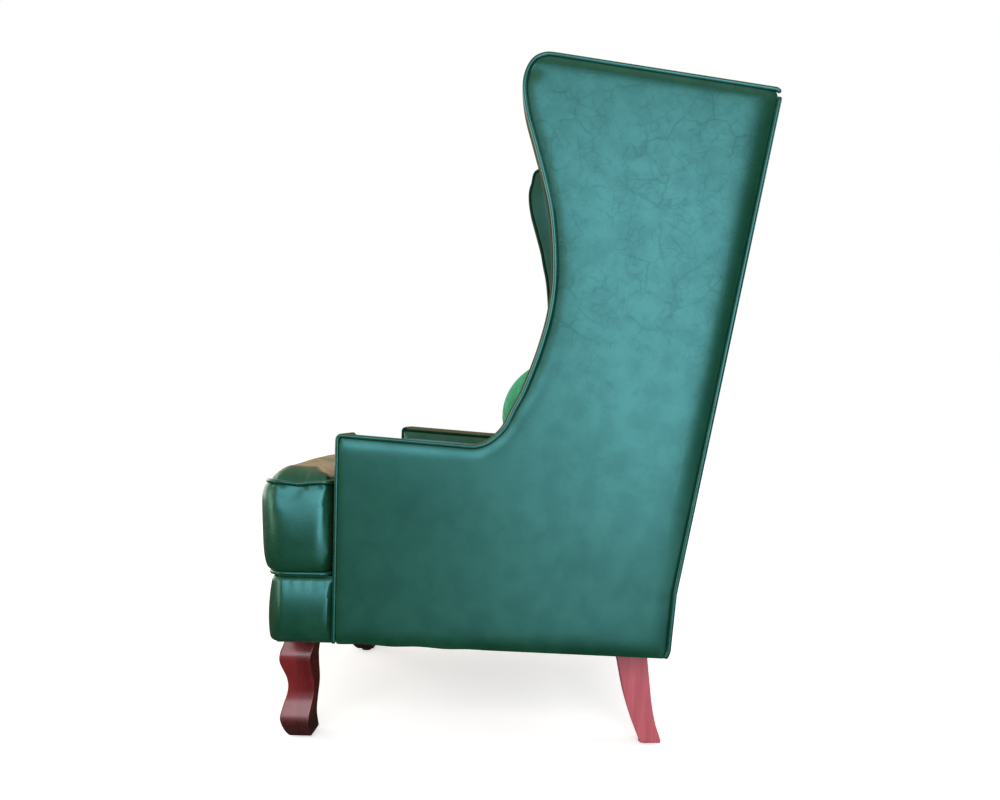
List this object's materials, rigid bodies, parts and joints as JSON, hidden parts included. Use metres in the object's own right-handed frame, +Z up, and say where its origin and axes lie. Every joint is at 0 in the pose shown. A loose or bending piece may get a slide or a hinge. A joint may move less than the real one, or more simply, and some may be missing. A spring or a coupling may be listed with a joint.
{
  "type": "high-back wing chair",
  "caption": "Upholstered high-back wing chair with piped edges, a loose T-shaped seat cushion, a lumbar pillow, curved front legs and splayed rear legs.",
  "frame": {"origin": "on the floor, under the middle of the chair's overall width and depth", "axes": "+Z up, -Y towards the front of the seat, +X towards the sitter's left"},
  "size_m": [0.75, 0.836, 1.1664],
  "materials": {
    "green_leather": "semi-gloss, fine grain, faint creases",
    "green_velvet": "short pile",
    "front_leg_wood": "dark cherry stain, satin lacquer",
    "rear_leg_wood": "rosy stain, satin lacquer",
    "frame_wood": "bare, sawn",
    "webbing": "woven",
    "lining_cloth": "plain matt cloth",
    "glide_plastic": "moulded",
    "bolt_steel": "zinc plated"
  },
  "bodies": {
    "root": {"arm_border_left": "green_leather", "arm_border_right": "green_leather", "arm_ledge_pad_left": "green_leather", "arm_ledge_pad_right": "green_leather", "arm_post_left": "frame_wood", "arm_post_right": "frame_wood", "arm_rail_left": "frame_wood", "arm_rail_right": "frame_wood", "back_post_left": "frame_wood", "back_post_right": "frame_wood", "back_webbing": "webbing", "back_welt_left": "green_leather", "back_welt_right": "green_leather", "corner_block_front_left": "frame_wood", "corner_block_front_right": "frame_wood", "corner_block_rear_left": "frame_wood", "corner_block_rear_right": "frame_wood", "crest_rail": "frame_wood", "cushion_bottom_welt": "green_leather", "cushion_top_welt": "green_leather", "dust_cover": "lining_cloth", "front_border": "green_leather", "front_glide_left": "glide_plastic", "front_glide_right": "glide_plastic", "front_leg_left": "front_leg_wood", "front_leg_right": "front_leg_wood", "front_rail": "frame_wood", "hanger_bolt_front_left": "bolt_steel", "hanger_bolt_front_right": "bolt_steel", "hanger_bolt_rear_left": "bolt_steel", "hanger_bolt_rear_right": "bolt_steel", "inside_arm_pad_left": "green_leather", "inside_arm_pad_right": "green_leather", "inside_back_pad": "green_leather", "inside_wing_pad_left": "green_leather", "inside_wing_pad_right": "green_leather", "lower_back_rail": "frame_wood", "lumbar_pillow": "green_velvet", "outside_back_panel": "green_leather", "outside_panel_left": "green_leather", "outside_panel_right": "green_leather", "rear_glide_left": "glide_plastic", "rear_glide_right": "glide_plastic", "rear_leg_left": "rear_leg_wood", "rear_leg_right": "rear_leg_wood", "rear_rail": "frame_wood", "seat_cushion": "green_leather", "seat_deck": "lining_cloth", "seat_webbing": "webbing", "side_rail_left": "frame_wood", "side_rail_right": "frame_wood", "side_welt_left": "green_leather", "side_welt_right": "green_leather", "wing_border_left": "green_leather", "wing_border_right": "green_leather", "wing_rib_left": "frame_wood", "wing_rib_right": "frame_wood", "wing_top_rail_left": "frame_wood", "wing_top_rail_right": "frame_wood"}
  },
  "joints": []
}
